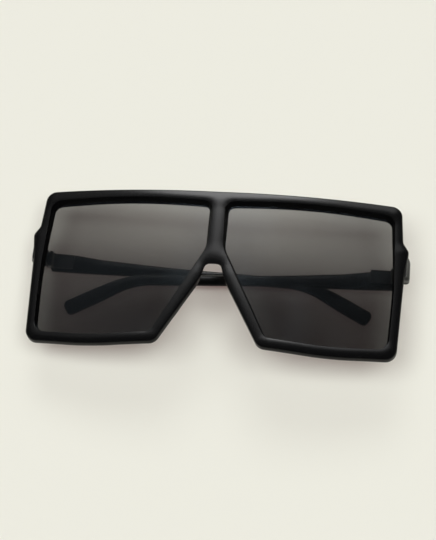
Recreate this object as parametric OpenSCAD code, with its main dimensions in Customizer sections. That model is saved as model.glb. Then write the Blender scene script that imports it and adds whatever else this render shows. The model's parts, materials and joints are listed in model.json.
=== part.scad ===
// Oversized flat-top sunglasses, folded and lying on one temple with the lenses up.
// +X runs along the front to the wearer's left, +Y to the brow edge and +Z up, out of the lenses.
// The origin is on the resting surface, under the middle of the folded object.
// The front is drawn in a frame of its own, with its front surface at zero height in the middle,
// and each temple in the frame of its own hinge pin, so that both swing about the pin's line.

/* [Front] */
// Width of the front across its widest points, the end pieces
front_w = 150; // [120:1:170]
// Height of the front from brow edge to lower edge
front_h = 66.5; // [54:0.5:76]
// Radius that the front is bowed to, seen from above the brow
wrap_r = 285; // [180:5:500]
// Thickness of the rims from front to back
rim_t = 4.6; // [4.3:0.1:6]
// Width of the rim along the brow
brow_rim_w = 5.5; // [4.5:0.1:9]
// Width of the rims at the two sides
side_rim_w = 3.8; // [3.4:0.1:7]
// Width of the rims along the lower edge
lower_rim_w = 4.5; // [3:0.1:7]
// Width of the slanted rims at the top of the nose
nose_rim_w = 5.4; // [4.5:0.1:8]
// Width of the slanted rims where they meet the lower rims
nose_low_w = 4.3; // [3.8:0.1:7]
// Distance by which the lens openings bulge towards the brow
brow_bulge = 1.2; // [0:0.1:1.5]
// Distance by which the lens openings bulge towards the sides
side_bulge = 1.6; // [0:0.1:2]
// Width of the bridge between the lenses
bridge_w = 7.4; // [5:0.1:12]
// Height of the top of the nose arch, measured from the middle of the front's height
arch_y = 0.7; // [-4:0.1:5]
// Width of the slope along the front's edges
bevel_w = 0.8; // [0.2:0.05:1]

/* [Lenses] */
// Thickness of each lens
lens_t = 1.6; // [1.2:0.1:1.9]
// Depth of the lens behind the face of the rim
lens_drop = 2.2; // [1.2:0.1:2.4]
// Depth of the groove that holds the edge of the lens
groove_d = 1.2; // [0.6:0.1:1.8]
// Clearance between the lens and its groove
lens_gap = 0.05; // [0.02:0.01:0.1]

/* [Nose pads] */
// Length of each nose pad along the slanted rim
pad_l = 17; // [12:0.5:22]
// Width of each nose pad
pad_w = 4.2; // [3:0.1:4.4]
// Height of each nose pad behind the rim
pad_h = 3.6; // [2:0.1:5]

/* [End pieces] */
// Depth of the hinge pins behind the middle of the front's face
hinge_depth = 23; // [20:0.5:28]
// Width of the end piece where the temple butts against it
butt_t = 5.1; // [4.5:0.1:6]
// Distance by which the end pieces flare out past the front's face, measured at the hinges
end_flare = 0.8; // [0:0.1:1.2]
// Height of the hinge pins' middle above the middle of the front
hinge_y = 8; // [6.6:0.2:10]

/* [Temples] */
// Length of each temple from its hinge pin to its tip, along its middle line
temple_l = 134; // [128:1:146]
// Height of the temple at its butt end
butt_h = 6.8; // [6.4:0.1:8]
// Height of the temple along its slim part
slim_h = 4; // [3.4:0.1:4.4]
// Height of the temple at its tip
tip_h = 6; // [5:0.1:7]
// Thickness of the temple along its slim part
slim_t = 3.4; // [2.6:0.1:3.8]
// Length of the temple before it bends down behind the ear
straight_l = 97; // [90:1:106]
// Angle of the bend behind the ear
ear_drop = 27; // [20:1:32]
// Slope of the temples across the folded front
temple_slope = 2.4; // [1.8:0.1:3]
// Angle by which each temple is set off that slope, one up and one down, so that they pass
pass_angle = 1.3; // [1.1:0.05:1.5]
// Distance by which each temple is set off the hinge's middle, one up and one down
pass_shift = 0.5; // [0.3:0.05:0.7]

/* [Hinges] */
// Outer radius of the hinge barrels
barrel_r = 1.6; // [1.4:0.05:1.8]
// Radius of the hinge screw's shaft
screw_r = 0.7; // [0.5:0.05:0.8]
// Running clearance between the screw and the barrels
screw_gap = 0.05; // [0.02:0.01:0.09]
// Length of all three knuckles together
barrel_l = 5.6; // [4.6:0.1:6]
// Thickness of the hinge leaves
leaf_t = 0.9; // [0.7:0.05:1]
// Length of the hinge leaves
leaf_l = 8.5; // [6.5:0.1:9.5]
// Radius of the screw's head
head_r = 1.25; // [1:0.05:1.35]
// Height of the screw's head
head_h = 0.7; // [0.5:0.05:0.9]

/* [Folding] */
// Angle between the front and a temple that lies folded under it, short of square
fold_lean = 2.6; // [2.2:0.1:3.4]

/* [Hidden] */
$fn = 48;

// Overrun of every cut past the surface that it opens
cut = 1;
// Clearance between pieces that are fastened to each other
seat_gap = 0.04;
// Clearance between pieces that move past each other in the hinge
swing_gap = 0.15;
// Straight steps in each rounded corner of an outline
corner_steps = 5;
// Smallest radius that a corner keeps when its outline is drawn in
least_r = 0.4;
// Most of an edge that the corner at one of its ends may take
edge_share = 0.49;
// Height by which the hinge leaves stand proud of the plastic that they are let into
leaf_proud = 0.2;

half_w = front_w / 2;

// Corner points of one half of the front, from the nose arch to the brow.
// They are shares of the half width and of the height.
nose_corner_shares = [0.263, -0.497];
lower_mid_shares = [0.62, -0.522];
lower_outer_shares = [0.958, -0.486];
end_low_shares = [0.981, 0.036];
end_out_shares = [1, 0.200];
end_top_shares = [0.968, 0.252];
brow_outer_shares = [0.954, 0.482];
brow_mid_shares = [0, 0.468];
arch_corner_shares = [0.035, 0];
arch_low_shares = [0.056, -0.072];

function placed(shares) = [shares[0] * half_w, shares[1] * front_h];

nose_corner = placed(nose_corner_shares);
lower_mid = placed(lower_mid_shares);
lower_outer = placed(lower_outer_shares);
end_low = placed(end_low_shares);
end_out = placed(end_out_shares);
end_top = placed(end_top_shares);
brow_outer = placed(brow_outer_shares);
brow_mid = placed(brow_mid_shares);
arch_corner = placed(arch_corner_shares) - [0, arch_y];
arch_low = placed(arch_low_shares) - [0, arch_y];

// Radii of the rounded corners
arch_r = 1.8;
arch_low_r = 9;
nose_corner_r = 4.2;
lower_mid_r = 120;
lower_outer_r = 5;
end_low_r = 2.4;
end_out_r = 2.6;
end_top_r = 3;
brow_outer_r = 4;
brow_mid_r = 150;
kink_r = 10;
opening_corner_r = 3;
opening_nose_r = 2.6;
side_bulge_r = 250;
brow_bulge_r = 500;

// Point where a line through p along u meets a line through q along v
function crossed(u, v) = u[0] * v[1] - u[1] * v[0];
function meet(p, u, q, v) = p + u * crossed(q - p, v) / crossed(u, v);
function unit(v) = v / norm(v);
function left_of(v) = [-v[1], v[0]];
function mirrored(p) = [-p[0], p[1]];
function reversed(list) = [for (i = [len(list) - 1 : -1 : 0]) list[i]];

// Points of an outline that runs anticlockwise, with each corner turned into an arc
function arc_at(before, corner, after, r) =
    let(
        u = unit(before - corner),
        v = unit(after - corner),
        half = acos(max(-1, min(1, u * v))) / 2,
        reach = min(r / tan(half), edge_share * norm(before - corner),
            edge_share * norm(after - corner)),
        true_r = reach * tan(half),
        centre = corner + unit(u + v) * true_r / sin(half),
        first = corner + u * reach - centre,
        turn = (180 - 2 * half) * sign(crossed(-u, v))
    )
    [for (k = [0 : corner_steps]) let(a = turn * k / corner_steps)
        centre + [first[0] * cos(a) - first[1] * sin(a), first[0] * sin(a) + first[1] * cos(a)]];
function rounded(points, radii) =
    let(n = len(points))
    [for (i = [0 : n - 1]) each
        arc_at(points[(i + n - 1) % n], points[i], points[(i + 1) % n], radii[i])];

// The same corners with every edge moved outwards by d, and the radii that go with them
function grown(points, d) =
    let(n = len(points))
    [for (i = [0 : n - 1])
        let(
            p = points[i],
            u = unit(p - points[(i + n - 1) % n]),
            v = unit(points[(i + 1) % n] - p),
            out_u = -left_of(u),
            out_v = -left_of(v)
        )
        p + (out_u + out_v) * d / (1 + out_u * out_v)];
function grown_radii(points, radii, d) =
    let(n = len(points))
    [for (i = [0 : n - 1])
        let(
            p = points[i],
            turn = sign(crossed(p - points[(i + n - 1) % n], points[(i + 1) % n] - p))
        )
        max(least_r, radii[i] + d * turn)];

outline_half = [arch_corner, arch_low, nose_corner, lower_mid, lower_outer, end_low, end_out,
    end_top, brow_outer];
outline_half_radii = [arch_r, arch_low_r, nose_corner_r, lower_mid_r, lower_outer_r, end_low_r,
    end_out_r, end_top_r, brow_outer_r];
outline = concat(outline_half, [brow_mid], reversed([for (p = outline_half) mirrored(p)]));
outline_radii = concat(outline_half_radii, [brow_mid_r], reversed(outline_half_radii));

// Middle of the front's height, which the whole object is centred on
outline_ys = [for (p = rounded(outline, outline_radii)) p[1]];
mid_y = (max(outline_ys) + min(outline_ys)) / 2;

// Corner points of one lens opening, set in from the outline by the rim widths
nose_run = unit(nose_corner - arch_low);
nose_line = arch_low + left_of(nose_run) * nose_rim_w;
nose_line_run = nose_corner + left_of(nose_run) * nose_low_w - nose_line;
kink = meet(nose_line, nose_line_run, [bridge_w / 2, 0], [0, 1]);
lower_in_run = unit(lower_mid - nose_corner);
lower_in_line = lower_mid + left_of(lower_in_run) * lower_rim_w;
opening_nose = meet(nose_line, nose_line_run, lower_in_line, lower_in_run);
lower_out_run = unit(lower_outer - lower_mid);
lower_out_line = lower_mid + left_of(lower_out_run) * lower_rim_w;
opening_mid = meet(lower_in_line, lower_in_run, lower_out_line, lower_out_run);
side_run = unit(brow_outer - lower_outer);
side_line = lower_outer + left_of(side_run) * side_rim_w;
opening_lower_outer = meet(lower_out_line, lower_out_run, side_line, side_run);
brow_run = unit(brow_mid - brow_outer);
brow_line = brow_outer + left_of(brow_run) * brow_rim_w;
opening_brow_outer = meet(side_line, side_run, brow_line, brow_run);
opening_brow_inner = meet(brow_line, brow_run, [bridge_w / 2, 0], [0, 1]);
opening_side_mid = (opening_lower_outer + opening_brow_outer) / 2
    - left_of(side_run) * side_bulge;
opening_brow_mid = (opening_brow_outer + opening_brow_inner) / 2
    - left_of(brow_run) * brow_bulge;
opening = [kink, opening_nose, opening_mid, opening_lower_outer, opening_side_mid,
    opening_brow_outer, opening_brow_mid, opening_brow_inner];
opening_radii = [kink_r, opening_nose_r, lower_mid_r, opening_corner_r, side_bulge_r,
    opening_corner_r, brow_bulge_r, opening_nose_r];

// Depth of the bowed face at a distance from the middle
function bow(x) = wrap_r - sqrt(wrap_r * wrap_r - x * x);

// Depth of the slope along the front's edges, as a share of its width
bevel_depth_share = 0.75;
bevel_d = bevel_w * bevel_depth_share;
// Steps that form the slope, each a share of its width and of its depth
bevel_step_shares = [[0.42, 0.3], [1, 0]];

// Bow of the front: everything between two depths behind its face
module bowed(near, far) {
    translate([0, 0, -wrap_r])
    rotate([90, 0, 0])
    difference() {
        cylinder(r = wrap_r - near, h = 2 * front_h, center = true, $fn = 360);
        cylinder(r = wrap_r - far, h = 2 * front_h + cut, center = true, $fn = 360);
    }
}

module through(points, radii, d) {
    translate([0, 0, -wrap_r / 2])
    linear_extrude(height = wrap_r)
    polygon(rounded(grown(points, d), grown_radii(points, radii, d)));
}

module both_sides() {
    children();
    mirror([1, 0, 0]) children();
}

// One layer of the front: its outline drawn in by one amount, its openings let out by another
module front_layer(inset, near, far) {
    intersection() {
        bowed(near, far);
        difference() {
            through(outline, outline_radii, -inset);
            both_sides() through(opening, opening_radii, inset);
        }
    }
}

// Place of the hinge pins in the front's frame
end_x = half_w + end_flare;
face_depth = barrel_r - leaf_t + leaf_proud;
pin_x = end_x - butt_t - face_depth;
barrel_room = barrel_r + swing_gap;
barrel_room_l = barrel_l + 2 * head_h + 4 * swing_gap;
// The hinge leaf is tangent to the barrels and ends in an anchor sunk into the plastic
leaf_end = leaf_t + leaf_l;
leaf_h = barrel_l;
anchor_l = 3;
anchor_d = 1.5;

// The end piece seen from above: from the rim back to the hinge
end_root_x = opening_side_mid[0] + groove_d + lens_gap;
end_face_x = end_x - butt_t;
end_start = bow(end_root_x) + rim_t / 2;
end_round = 1.6;
// Depth at which the end piece reaches its full width, as a share of the rim's thickness
end_shoulder_share = 1.5;
end_plan = [
    [end_root_x, -end_start],
    [end_root_x + rim_t / 4, -end_start - rim_t / 2],
    [end_face_x, -end_start - rim_t],
    [end_face_x, -hinge_depth],
    [end_x, -hinge_depth],
    [end_x, -bow(half_w) - rim_t * end_shoulder_share],
    [half_w - bevel_w, -bow(half_w) - rim_t / 2]
];
end_plan_radii = [least_r, least_r, end_round, least_r, end_round / 2, end_round, least_r];
// The same piece seen from the side: it narrows towards the hinge
end_side = [
    [end_low[1], -end_start],
    [end_low[1], -bow(half_w) - rim_t],
    [hinge_y - butt_h / 2, -hinge_depth],
    [hinge_y + butt_h / 2, -hinge_depth],
    [end_out[1], -bow(half_w) - rim_t],
    [end_out[1], -end_start]
];
end_side_radii = [least_r, end_round, least_r, least_r, end_round, least_r];

module end_piece() {
    intersection() {
        translate([0, front_h / 2, 0])
        rotate([90, 0, 0])
        linear_extrude(height = front_h)
        polygon(rounded(end_plan, end_plan_radii));
        translate([end_root_x - cut, 0, 0])
        rotate([90, 0, 90])
        linear_extrude(height = 2 * (butt_t + side_rim_w))
        polygon(reversed(rounded(reversed(end_side), reversed(end_side_radii))));
    }
}

// Room in the end piece or in the temple for the barrels and for a leaf that lies along +X
module hinge_room() {
    rotate([90, 0, 0])
    cylinder(r = barrel_room, h = barrel_room_l, center = true);
    translate([0, -leaf_h / 2 - seat_gap, -barrel_r - seat_gap])
    cube([leaf_end + seat_gap, leaf_h + 2 * seat_gap, leaf_t + 2 * seat_gap + cut]);
    translate([leaf_end - anchor_l - seat_gap, -leaf_h / 4 - seat_gap, -barrel_r - anchor_d - seat_gap])
    cube([anchor_l + 2 * seat_gap, leaf_h / 2 + 2 * seat_gap, anchor_d + cut]);
}

// Puts a piece drawn in the pin's frame on the +X end piece, where the leaf runs to the front
module at_front_leaf() {
    translate([pin_x, hinge_y, -hinge_depth])
    rotate([0, -90, 0])
    children();
}

// Place of a nose pad along the slanted rim and across it, as shares of the rim and of the pad
pad_along_share = 0.52;
pad_across_share = 0.52;
// Roundness of the pad, across it and along it, as shares of its width and of its length
pad_dome_share = 0.62;
pad_end_share = 0.62;
// Depth to which the pad is rooted in the rim, as a share of the rim's thickness
pad_root_share = 0.15;

module nose_pad() {
    pad_mid = arch_low + nose_run * norm(nose_corner - arch_low) * pad_along_share
        + left_of(nose_run) * pad_w * pad_across_share;
    pad_root = rim_t * pad_root_share;
    dome_r = pad_w * pad_dome_share;
    end_r = pad_l * pad_end_share;
    translate([pad_mid[0], pad_mid[1], -bow(pad_mid[0]) - rim_t - pad_h])
    rotate([0, 0, atan2(nose_run[1], nose_run[0])])
    intersection() {
        translate([-pad_l / 2, 0, dome_r])
        rotate([0, 90, 0])
        cylinder(r = dome_r, h = pad_l);
        translate([0, pad_w / 2, end_r])
        rotate([90, 0, 0])
        cylinder(r = end_r, h = pad_w);
        translate([-pad_l / 2, -pad_w / 2, -cut])
        cube([pad_l, pad_w, pad_h + pad_root + cut]);
    }
}

// Distance from a hinge pin to the flat outer face of its temple
arm_out = butt_t + face_depth;

// Places of the pins: the right temple lies flat on the resting surface
pin_y = hinge_y - mid_y;
pin_z = arm_out;
pin_rise = 2 * pin_x * sin(fold_lean);

// Puts the front's frame over the folded temples
module place_front() {
    translate([0, -mid_y, pin_z + pin_rise / 2])
    rotate([0, -fold_lean, 0])
    translate([0, 0, hinge_depth])
    children();
}

module place_right_pin() {
    translate([-pin_x * cos(fold_lean), pin_y, pin_z])
    children();
}

module place_left_pin() {
    translate([pin_x * cos(fold_lean), pin_y, pin_z + pin_rise])
    mirror([1, 0, 0])
    children();
}

module front_frame() {
    color([0.09, 0.09, 0.095])
    place_front()
    difference() {
        union() {
            front_layer(0, bevel_d, rim_t);
            for (s = bevel_step_shares)
                front_layer(bevel_w * s[0], bevel_d * s[1], rim_t / 2);
            both_sides() end_piece();
            both_sides() nose_pad();
        }
        both_sides() intersection() {
            bowed(lens_drop - lens_gap, lens_drop + lens_t + lens_gap);
            through(opening, opening_radii, groove_d + lens_gap);
        }
        both_sides() at_front_leaf() hinge_room();
    }
}

module lens_solid() {
    color([0.2, 0.2, 0.21, 0.75])
    intersection() {
        bowed(lens_drop, lens_drop + lens_t);
        through(opening, opening_radii, groove_d);
    }
}

// Middle line of a temple: straight to the bend, an arc, then straight to the tip
bend_r = 34;
bend_l = bend_r * ear_drop * PI / 180;
function middle(s) =
    s < straight_l ? [s, 0]
    : s < straight_l + bend_l
        ? let(a = (s - straight_l) / bend_l * ear_drop)
            [straight_l + bend_r * sin(a), -bend_r * (1 - cos(a))]
        : [straight_l + bend_r * sin(ear_drop), -bend_r * (1 - cos(ear_drop))]
            + (s - straight_l - bend_l) * [cos(ear_drop), -sin(ear_drop)];
function bearing(s) =
    s < straight_l ? 0 : s < straight_l + bend_l ? -(s - straight_l) / bend_l * ear_drop : -ear_drop;
function eased(t) = t <= 0 ? 0 : t >= 1 ? 1 : t * t * (3 - 2 * t);
// Height along the temple: butt, slim part, paddle
neck_share = 0.42;
paddle_start_share = 0.72;
paddle_end_share = 0.93;
function arm_h(s) =
    butt_h + (slim_h - butt_h) * eased(s / (neck_share * temple_l))
    + (tip_h - slim_h) * eased((s / temple_l - paddle_start_share)
        / (paddle_end_share - paddle_start_share));
tip_r = 1.9;
arm_steps = 44;
function side_point(s, side) = middle(s) + left_of([cos(bearing(s)), sin(bearing(s))]) * side
    * arm_h(s) / 2;
tip_run = [cos(ear_drop), -sin(ear_drop)];
arm_start = swing_gap;
arm_end = temple_l - tip_r;
arm_stations = [for (i = [0 : arm_steps]) arm_start + (arm_end - arm_start) * i / arm_steps];
arm_lower = [for (s = arm_stations) side_point(s, -1)];
arm_upper = [for (s = arm_stations) side_point(s, 1)];
tip_lower = middle(temple_l) - left_of(tip_run) * tip_h / 2;
tip_upper = middle(temple_l) + left_of(tip_run) * tip_h / 2;
arm_outline = concat(arm_lower,
    arc_at(arm_lower[arm_steps], tip_lower, tip_upper, tip_r),
    arc_at(tip_lower, tip_upper, arm_upper[arm_steps], tip_r),
    reversed(arm_upper));

// The temple seen from above: its outer face is flat, its inner face steps in behind the butt
taper_l = 20;
arm_plan = [
    [arm_start, -arm_out],
    [2 * temple_l, -arm_out],
    [2 * temple_l, -arm_out + slim_t],
    [taper_l, -arm_out + slim_t],
    [taper_l / 2, -arm_out + butt_t],
    [arm_start, -arm_out + butt_t]
];

// A temple lying along +X from its pin, set up or down by the pass angle
module temple_body(set) {
    color([0.08, 0.08, 0.085])
    difference() {
        intersection() {
            translate([0, set * pass_shift, -2 * arm_out])
            rotate([0, 0, -temple_slope + set * pass_angle])
            linear_extrude(height = 2 * arm_out + barrel_r)
            polygon(arm_outline);
            translate([0, temple_l, 0])
            rotate([90, 0, 0])
            linear_extrude(height = 2 * temple_l)
            polygon(arm_plan);
        }
        hinge_room();
    }
}

knuckle_gap = 0.1;
middle_knuckle_share = 0.38;
middle_knuckle_l = barrel_l * middle_knuckle_share;
side_knuckle_l = (barrel_l - middle_knuckle_l) / 2 - knuckle_gap;

module knuckle(low, length) {
    translate([0, low + length, 0])
    rotate([90, 0, 0])
    cylinder(r = barrel_r, h = length);
}

// Room that one leaf leaves for the other's knuckle
module knuckle_room(low, length) {
    translate([0, low + length + knuckle_gap, 0])
    rotate([90, 0, 0])
    cylinder(r = barrel_room, h = length + 2 * knuckle_gap);
}

module screw_bore() {
    rotate([90, 0, 0])
    cylinder(r = screw_r + screw_gap, h = 2 * barrel_l, center = true);
}

module leaf_plate() {
    translate([0, -leaf_h / 2, -barrel_r])
    cube([leaf_end, leaf_h, leaf_t]);
    translate([leaf_end - anchor_l, -leaf_h / 4, -barrel_r - anchor_d])
    cube([anchor_l, leaf_h / 2, anchor_d + leaf_t / 2]);
}

// The leaf with the two outer knuckles
module outer_leaf() {
    color([0.16, 0.16, 0.17])
    difference() {
        union() {
            difference() {
                leaf_plate();
                knuckle_room(-middle_knuckle_l / 2, middle_knuckle_l);
            }
            knuckle(-barrel_l / 2, side_knuckle_l);
            knuckle(barrel_l / 2 - side_knuckle_l, side_knuckle_l);
        }
        screw_bore();
    }
}

// The leaf with the middle knuckle
module inner_leaf() {
    color([0.16, 0.16, 0.17])
    difference() {
        union() {
            difference() {
                leaf_plate();
                knuckle_room(-barrel_l / 2 - knuckle_gap, side_knuckle_l + knuckle_gap);
                knuckle_room(barrel_l / 2 - side_knuckle_l, side_knuckle_l + knuckle_gap);
            }
            knuckle(-middle_knuckle_l / 2, middle_knuckle_l);
        }
        screw_bore();
    }
}

slot_w = 0.35;
slot_d = 0.35;
end_out_l = 0.2;

module hinge_screw() {
    color([0.3, 0.3, 0.31])
    rotate([-90, 0, 0])
    difference() {
        union() {
            translate([0, 0, -barrel_l / 2 - end_out_l])
            cylinder(r = screw_r, h = barrel_l + end_out_l + head_h / 2);
            translate([0, 0, barrel_l / 2 + seat_gap])
            cylinder(r = head_r, h = head_h);
        }
        translate([-head_r - cut, -slot_w / 2, barrel_l / 2 + seat_gap + head_h - slot_d])
        cube([2 * head_r + 2 * cut, slot_w, slot_d + cut]);
    }
}

module left_lens() {
    place_front() lens_solid();
}

module right_lens() {
    place_front() mirror([1, 0, 0]) lens_solid();
}

module left_temple() {
    place_left_pin() temple_body(-1);
}

module right_temple() {
    place_right_pin() temple_body(1);
}

module left_front_hinge_leaf() {
    place_front() at_front_leaf() outer_leaf();
}

module right_front_hinge_leaf() {
    place_front() mirror([1, 0, 0]) at_front_leaf() outer_leaf();
}

module left_temple_hinge_leaf() {
    place_left_pin() inner_leaf();
}

module right_temple_hinge_leaf() {
    place_right_pin() inner_leaf();
}

module left_hinge_screw() {
    place_left_pin() hinge_screw();
}

module right_hinge_screw() {
    place_right_pin() hinge_screw();
}

front_frame();
left_lens();
right_lens();
left_temple();
right_temple();
left_front_hinge_leaf();
right_front_hinge_leaf();
left_temple_hinge_leaf();
right_temple_hinge_leaf();
left_hinge_screw();
right_hinge_screw();
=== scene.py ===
# %% [markdown]
# # Oversized sunglasses, folded on a pale table
#
# The real pair is injection-moulded plastic: one black front with two large tinted lenses sprung
# into it, and two temples on small barrel hinges. Folded, the wearer's right temple lies flat on
# the table and the left one crosses above it.
#
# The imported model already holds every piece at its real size. This notebook gives the plastic
# its rounded edges, the lenses their tint and the hinges their metal, and never moves a piece.

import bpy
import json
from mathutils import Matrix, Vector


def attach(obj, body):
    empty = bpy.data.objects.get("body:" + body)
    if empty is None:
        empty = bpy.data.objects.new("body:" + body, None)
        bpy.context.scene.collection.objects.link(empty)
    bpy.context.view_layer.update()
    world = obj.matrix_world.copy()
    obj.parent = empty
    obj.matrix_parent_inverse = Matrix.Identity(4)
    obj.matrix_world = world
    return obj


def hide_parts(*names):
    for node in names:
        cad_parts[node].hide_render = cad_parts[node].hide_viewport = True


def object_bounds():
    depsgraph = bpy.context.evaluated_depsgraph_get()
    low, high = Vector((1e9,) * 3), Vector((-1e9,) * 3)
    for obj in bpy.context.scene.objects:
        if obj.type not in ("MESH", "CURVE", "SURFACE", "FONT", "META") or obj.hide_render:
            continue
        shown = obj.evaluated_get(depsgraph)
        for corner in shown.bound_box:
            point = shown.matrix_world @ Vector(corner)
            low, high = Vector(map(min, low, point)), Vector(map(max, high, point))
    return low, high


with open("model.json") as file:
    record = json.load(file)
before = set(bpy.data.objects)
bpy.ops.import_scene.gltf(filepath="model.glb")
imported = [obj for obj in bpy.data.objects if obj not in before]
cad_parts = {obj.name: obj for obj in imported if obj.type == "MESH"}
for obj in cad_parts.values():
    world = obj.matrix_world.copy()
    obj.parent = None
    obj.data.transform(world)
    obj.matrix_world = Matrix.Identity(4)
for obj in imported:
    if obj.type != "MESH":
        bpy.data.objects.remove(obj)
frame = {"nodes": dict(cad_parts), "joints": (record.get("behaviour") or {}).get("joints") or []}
cad_low, cad_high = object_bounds()
print("Packed model, mm:", [round(v * 1000, 1) for v in cad_high - cad_low])

# %% Other modules
import json
import math

import bmesh
import bpy
import numpy as np
from mathutils import Matrix, Vector

# %% [markdown]
# ## Places to draw in
#
# The front leans a little, because one temple lies under it on one side and two on the other. It is
# easier to draw the front flat and face up in millimetres, and to let a matrix carry it to its place.
# The two hinge pins give that matrix: the line between them is the front's own width direction.
# Each temple gets a matrix at its own pin in the same way, and the left one is mirrored.

# %% Frames of the front and of both temples
MM = 0.001
hinge_depth = 23
hinge_y = 8

pins = {joint["name"]: Vector(joint["pos_m"]) for joint in frame["joints"]}
right_pin = pins["right_hinge"]
left_pin = pins["left_hinge"]
brow_way = Vector((0, 1, 0))
across = (left_pin - right_pin).normalized()
outward = across.cross(brow_way)
front_middle = (left_pin + right_pin) / 2 + (outward * hinge_depth - brow_way * hinge_y) * MM
front_turn = Matrix((across, brow_way, outward)).transposed()
FRONT = Matrix.Translation(front_middle) @ front_turn.to_4x4() @ Matrix.Scale(MM, 4)
RIGHT_ARM = Matrix.Translation(right_pin) @ Matrix.Scale(MM, 4)
LEFT_ARM = Matrix.Translation(left_pin) @ Matrix.Diagonal((-MM, MM, MM, 1))
pin_x = (left_pin - right_pin).length / 2 / MM
print("Lean of the front, degrees:", round(math.degrees(math.asin(across.z)), 2))

# %% [markdown]
# ## Camera
#
# A photograph of a thing with straight edges gives its own camera away. Placing the front's
# corners in the picture fixes where the lens stood, how long it was and how it was rolled. The
# camera stands above the wearer's side of the lower rims and looks steeply down.

# %% Camera
PICTURE_LONG_SIDE_PX = 540
focal_px = 1445
camera_place = Vector((67.4, -229.1, 504.6))
camera_target = Vector((2.2, -3.1, 0))
camera_roll_deg = 5.83


def into_scene(name, data):
    """A new object with this data, linked into the scene."""
    thing = bpy.data.objects.new(name, data)
    bpy.context.scene.collection.objects.link(thing)
    return thing


forward = (camera_target - camera_place).normalized()
level = forward.cross(brow_way).normalized()
upward = level.cross(forward)
roll = math.radians(camera_roll_deg)
camera_right = level * math.cos(roll) + upward * math.sin(roll)
camera_up = upward * math.cos(roll) - level * math.sin(roll)
camera_turn = front_turn @ Matrix((camera_right, camera_up, -forward)).transposed()

camera_data = bpy.data.cameras.new("camera")
camera_data.lens = focal_px * camera_data.sensor_width / PICTURE_LONG_SIDE_PX
camera = into_scene("camera", camera_data)
camera.matrix_world = Matrix.Translation(FRONT @ camera_place) @ camera_turn.to_4x4()
bpy.context.scene.camera = camera
print("Lens, mm:", camera_data.lens, " camera at, m:", [round(v, 3) for v in camera.location])

# %% [markdown]
# ## Outlines
#
# Two outlines shape the front: the outside, with its flat brow and its small step at each hinge,
# and the lens opening. Each is a short list of corners, and every corner becomes an arc. The
# corners are shares of half the width and of the height, so they follow those two sizes.

# %% Sizes of the front, in millimetres
front_w = 150
front_h = 66.5
wrap_r = 285
rim_t = 4.6
brow_rim_w = 5.5
side_rim_w = 3.8
lower_rim_w = 4.5
nose_rim_w = 5.4
nose_low_w = 4.3
bridge_w = 7.4
brow_bulge = 1.2
side_bulge = 1.6
arch_y = 0.7
lens_drop = 2.2
lens_t = 1.6
groove_d = 1.2
lens_gap = 0.05
half_w = front_w / 2
print("Front, mm:", front_w, "wide,", front_h, "high,", rim_t, "thick")

# %% Corners of the outline
half_outline_shares = [
    (0.035, 0), (0.056, -0.072), (0.263, -0.497), (0.62, -0.522), (0.958, -0.486),
    (0.981, 0.036), (1, 0.200), (0.968, 0.252), (0.954, 0.482),
]
half_outline_r = [1.8, 9, 4.2, 120, 5, 2.4, 2.6, 3, 4]
brow_share = 0.468
brow_r = 150
ARCH, ARCH_LOW, NOSE, LOWER_MID, LOWER_OUTER = range(5)
BROW = len(half_outline_shares)
BROW_OUTER = BROW - 1

half_outline = [np.array((x * half_w, y * front_h)) for x, y in half_outline_shares]
for corner in (ARCH, ARCH_LOW):
    half_outline[corner] = half_outline[corner] - (0, arch_y)
brow_mid = np.array((0, brow_share * front_h))
mirror = np.array((-1, 1))
outline = half_outline + [brow_mid] + [p * mirror for p in reversed(half_outline)]
outline_r = half_outline_r + [brow_r] + half_outline_r[::-1]
print("Corners of the outline:", len(outline))


# %% Lines set in from the outline, and where they meet
def cross(u, v):
    """Size of the turn from u to v."""
    return u[0] * v[1] - u[1] * v[0]


def set_in(start, end, width, end_width=None):
    """The line from start to end moved to its left, by one width or by two. A point and a direction."""
    run = (end - start) / np.linalg.norm(end - start)
    side = np.array((-run[1], run[0]))
    first = start + side * width
    return first, end + side * (width if end_width is None else end_width) - first


def meet(one, other):
    """Point where two lines meet."""
    (p, u), (q, v) = one, other
    return p + u * cross(q - p, v) / cross(u, v)


def bulged(start, end, bulge):
    """Point beside the middle of an edge, on its right by the bulge."""
    run = (end - start) / np.linalg.norm(end - start)
    return (start + end) / 2 + np.array((run[1], -run[0])) * bulge


# %% Corners of one lens opening
bridge_line = (np.array((bridge_w / 2, 0)), np.array((0, 1)))
nose_line = set_in(half_outline[ARCH_LOW], half_outline[NOSE], nose_rim_w, nose_low_w)
lower_inner_line = set_in(half_outline[NOSE], half_outline[LOWER_MID], lower_rim_w)
lower_outer_line = set_in(half_outline[LOWER_MID], half_outline[LOWER_OUTER], lower_rim_w)
side_line = set_in(half_outline[LOWER_OUTER], half_outline[BROW_OUTER], side_rim_w)
brow_line = set_in(half_outline[BROW_OUTER], brow_mid, brow_rim_w)
opening_lines = [bridge_line, nose_line, lower_inner_line, lower_outer_line, side_line, brow_line]
kink, low_inner, low_mid, low_outer, top_outer, top_inner = [
    meet(a, b) for a, b in zip(opening_lines, opening_lines[1:] + opening_lines[:1])
]
opening = [
    kink, low_inner, low_mid, low_outer, bulged(low_outer, top_outer, side_bulge),
    top_outer, bulged(top_outer, top_inner, brow_bulge), top_inner,
]
opening_r = [10, 2.6, 120, 4, 250, 3, 500, 2.6]
print("Lens opening, mm:", [tuple(float(round(v, 1)) for v in p) for p in opening])

# %% [markdown]
# ## Rounding and spacing the points
#
# A moulded edge is drawn by its highlight, so the mesh needs evenly spaced points along every
# outline. Each corner becomes an arc first. A stretch between two corners' middles is then divided
# into equal steps, and the same number of steps on the outline and on the opening lets rows of
# quads run straight from one to the other.

# %% Arcs at the corners
ARC_STEPS = 24
MOST_OF_EDGE_SHARE = 0.49


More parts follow.
